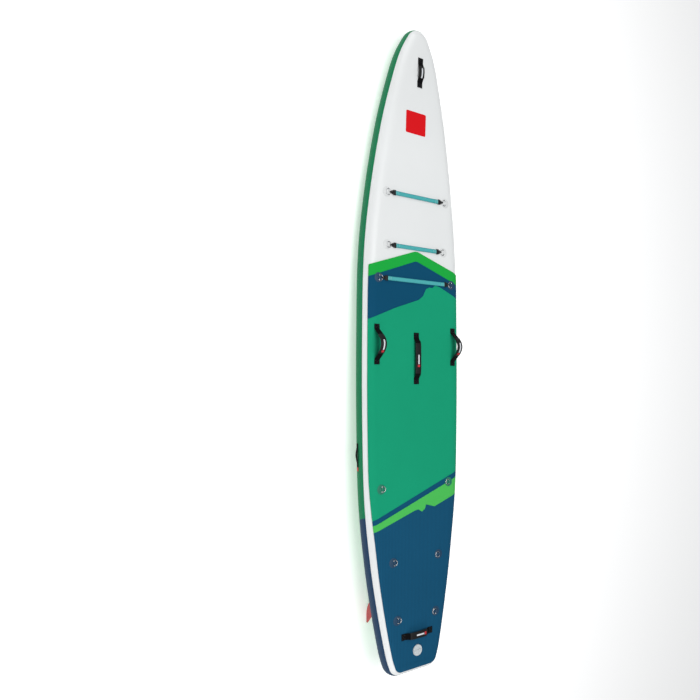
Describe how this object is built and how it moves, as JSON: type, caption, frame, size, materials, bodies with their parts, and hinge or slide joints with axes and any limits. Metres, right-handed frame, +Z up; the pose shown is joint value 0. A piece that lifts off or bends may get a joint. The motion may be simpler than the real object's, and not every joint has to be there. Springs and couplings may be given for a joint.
{
  "type": "stand up paddleboard",
  "caption": "Inflatable touring paddleboard with foam deck pads, cargo straps, carry handles, D-rings, an air valve and fins, lying level on its fins.",
  "frame": {"origin": "on the floor, below the middle of the bounding box", "axes": "+X towards the nose, +Y to port, +Z up; the deck is tipped about 3 degrees nose down, as the board rests on its fin tips and the ridge of its bow"},
  "size_m": [4.0104, 0.7724, 0.3486],
  "materials": {
    "pvc_white": "satin coated fabric",
    "pvc_green": "glossy coated fabric",
    "drop_stitch_cloth": "woven, unseen inside the skins",
    "foam_lime": "matt closed-cell foam",
    "foam_teal": "matt closed-cell foam",
    "foam_navy": "matt closed-cell foam",
    "ring_steel": "polished wire",
    "patch_black": "matt coated fabric",
    "strap_turquoise": "woven elastic with sewn hooks",
    "webbing_black": "woven webbing",
    "valve_plastic": "moulded",
    "fin_base_plastic": "moulded",
    "fin_red": "translucent flexible plastic"
  },
  "bodies": {
    "board": {"deck_skin": "pvc_white", "bottom_skin": "pvc_green", "rail_port": "pvc_green", "rail_starboard": "pvc_green", "drop_stitch_core": "drop_stitch_cloth", "pad_chevron": "foam_lime", "pad_front": "foam_navy", "pad_main": "foam_teal", "pad_stripe": "foam_navy", "pad_band": "foam_lime", "pad_tail": "foam_navy", "valve_body": "valve_plastic", "ring_patch_mid_port": "patch_black", "ring_patch_mid_starboard": "patch_black", "ring_patch_aft_port": "patch_black", "ring_patch_aft_starboard": "patch_black", "ring_patch_tail_port": "patch_black", "ring_patch_tail_starboard": "patch_black", "ring_patch_front_port": "patch_black", "d_ring_front_port": "ring_steel", "ring_patch_front_starboard": "patch_black", "d_ring_front_starboard": "ring_steel", "ring_patch_middle_port": "patch_black", "d_ring_middle_port": "ring_steel", "ring_patch_middle_starboard": "patch_black", "d_ring_middle_starboard": "ring_steel", "ring_patch_rear_port": "patch_black", "d_ring_rear_port": "ring_steel", "ring_patch_rear_starboard": "patch_black", "d_ring_rear_starboard": "ring_steel", "cargo_strap_front": "strap_turquoise", "cargo_strap_middle": "strap_turquoise", "cargo_strap_rear": "strap_turquoise", "handle_tab_port_fore": "webbing_black", "handle_tab_port_aft": "webbing_black", "handle_tab_starboard_fore": "webbing_black", "handle_tab_starboard_aft": "webbing_black", "handle_centre": "webbing_black", "handle_nose": "webbing_black", "handle_tail": "webbing_black", "rail_strap_port": "webbing_black", "rail_strap_starboard": "webbing_black", "fin_port": "fin_red", "fin_base_port": "fin_base_plastic", "fin_starboard": "fin_red", "fin_base_starboard": "fin_base_plastic"},
    "d_ring_mid_port": {"d_ring_mid_port": "ring_steel"},
    "d_ring_mid_starboard": {"d_ring_mid_starboard": "ring_steel"},
    "d_ring_aft_port": {"d_ring_aft_port": "ring_steel"},
    "d_ring_aft_starboard": {"d_ring_aft_starboard": "ring_steel"},
    "d_ring_tail_port": {"d_ring_tail_port": "ring_steel"},
    "d_ring_tail_starboard": {"d_ring_tail_starboard": "ring_steel"},
    "handle_loop_port": {"handle_loop_port": "webbing_black"},
    "handle_loop_starboard": {"handle_loop_starboard": "webbing_black"},
    "valve_cap": {"valve_cap": "valve_plastic"},
    "valve_plunger": {"valve_plunger": "valve_plastic"}
  },
  "joints": [
    {"name": "d_ring_mid_port_hinge", "type": "hinge", "parent": "board", "child": "d_ring_mid_port", "pos_m": [-0.82838, 0.26675, 0.27166], "axis": [-0.9987, 0, 0.0513], "range_deg": [0, 165]},
    {"name": "d_ring_mid_starboard_hinge", "type": "hinge", "parent": "board", "child": "d_ring_mid_starboard", "pos_m": [-0.82838, -0.26675, 0.27166], "axis": [0.9987, 0, -0.0513], "range_deg": [0, 165]},
    {"name": "d_ring_aft_port_hinge", "type": "hinge", "parent": "board", "child": "d_ring_aft_port", "pos_m": [-1.2836, 0.17986, 0.29678], "axis": [-0.9983, 0, 0.0589], "range_deg": [0, 165]},
    {"name": "d_ring_aft_starboard_hinge", "type": "hinge", "parent": "board", "child": "d_ring_aft_starboard", "pos_m": [-1.2836, -0.17986, 0.29678], "axis": [0.9983, 0, -0.0589], "range_deg": [0, 165]},
    {"name": "d_ring_tail_port_hinge", "type": "hinge", "parent": "board", "child": "d_ring_tail_port", "pos_m": [-1.63987, 0.15186, 0.31886], "axis": [-0.9979, 0, 0.0648], "range_deg": [0, 165]},
    {"name": "d_ring_tail_starboard_hinge", "type": "hinge", "parent": "board", "child": "d_ring_tail_starboard", "pos_m": [-1.63987, -0.15186, 0.31886], "axis": [0.9979, 0, -0.0648], "range_deg": [0, 165]},
    {"name": "handle_loop_port_hinge", "type": "hinge", "parent": "board", "child": "handle_loop_port", "pos_m": [0.04403, 0.30083, 0.2281], "axis": [0.9987, 0, -0.0509], "range_deg": [-60, 60], "stiffness_Nm_per_rad": 0.05},
    {"name": "handle_loop_starboard_hinge", "type": "hinge", "parent": "board", "child": "handle_loop_starboard", "pos_m": [0.04403, -0.30083, 0.2281], "axis": [0.9987, 0, -0.0509], "range_deg": [-60, 60], "stiffness_Nm_per_rad": 0.05},
    {"name": "valve_cap_turn", "type": "hinge", "parent": "board", "child": "valve_cap", "pos_m": [-1.85177, 0, 0.32739], "axis": [0.0684, 0, 0.9977], "range_deg": [0, 90]},
    {"name": "valve_plunger_press", "type": "slide", "parent": "board", "child": "valve_plunger", "axis": [-0.0684, 0, -0.9977], "range_m": [0, 0.005], "stiffness_N_per_m": 400, "springref_m": -0.002}
  ]
}
